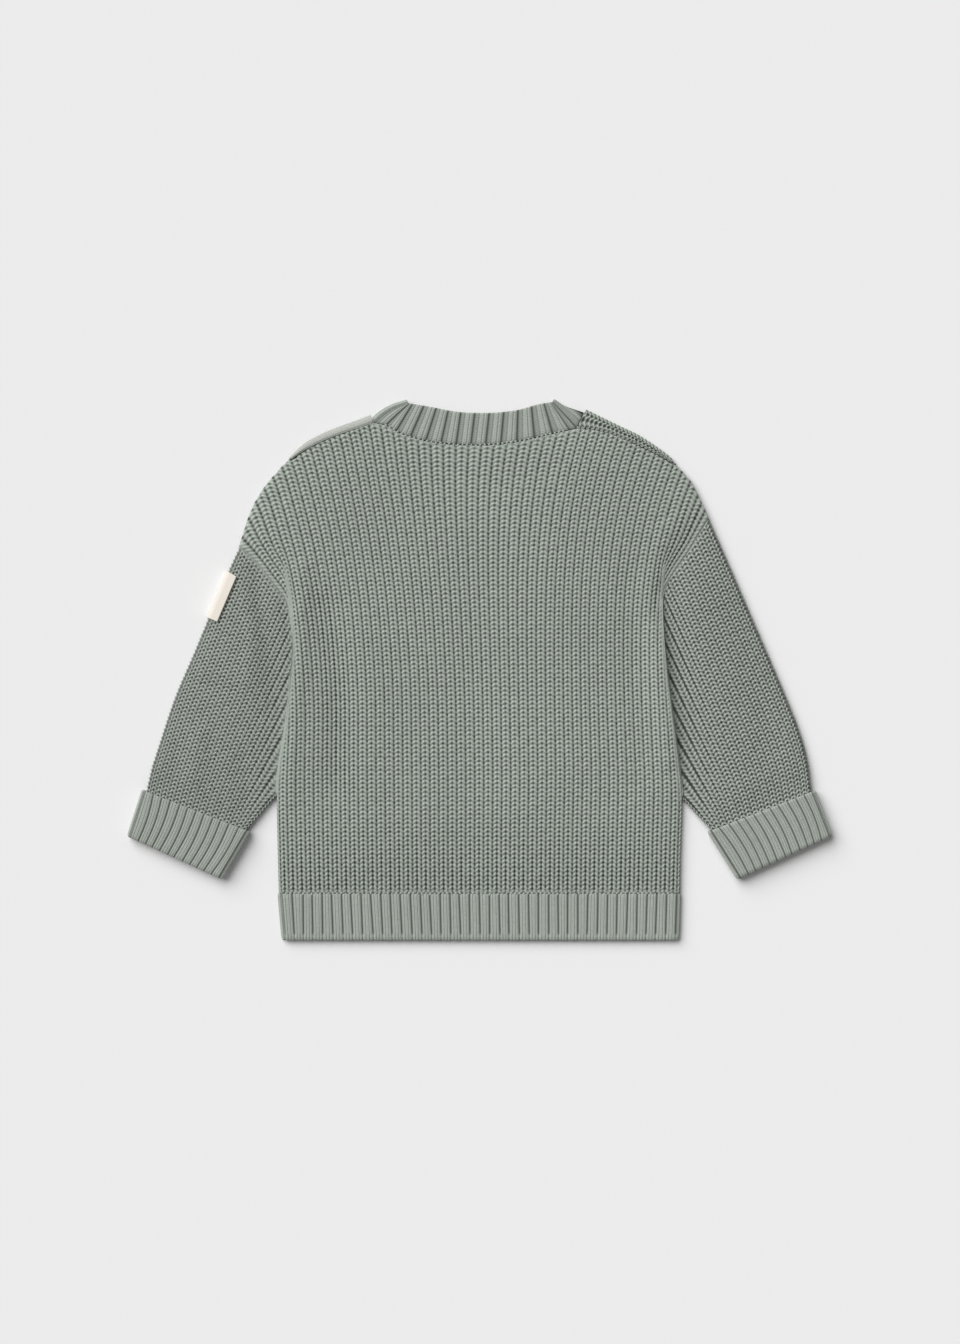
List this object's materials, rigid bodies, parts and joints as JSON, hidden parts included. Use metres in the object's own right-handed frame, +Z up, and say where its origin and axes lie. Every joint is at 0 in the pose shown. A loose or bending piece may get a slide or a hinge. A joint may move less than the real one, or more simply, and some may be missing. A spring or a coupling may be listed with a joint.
{
  "type": "baby sweater",
  "caption": "Baby's chunky knitted pullover laid flat with its back up: drop shoulders, ribbed neckband and hem, turned-up ribbed cuffs, and a small blank label on one sleeve.",
  "frame": {"origin": "middle of the garment's box, on the surface it lies on", "axes": "+X along the spread sleeves towards the right one as seen, +Y from the hem towards the neck, +Z up from the surface, out of the garment's back"},
  "size_m": [0.4571, 0.3511, 0.009],
  "materials": {
    "body_knit": "matte chunky half-cardigan knit in sage grey-green cotton yarn",
    "sleeve_knit": "matte knit in the same yarn, seen slightly denser",
    "rib_knit": "matte ribbed knit in the same yarn, a little lighter",
    "placket_knit": "smooth fine-knit edge, matte",
    "label_tape": "cream woven tape, matte, with nothing on it"
  },
  "bodies": {
    "root": {"back_panel": "body_knit", "front_panel": "body_knit", "shoulder_placket": "placket_knit", "neckband": "rib_knit", "hem_band": "rib_knit", "sleeve_left": "sleeve_knit", "sleeve_right": "sleeve_knit", "cuff_left": "rib_knit", "cuff_right": "rib_knit", "sleeve_label": "label_tape"}
  },
  "joints": []
}
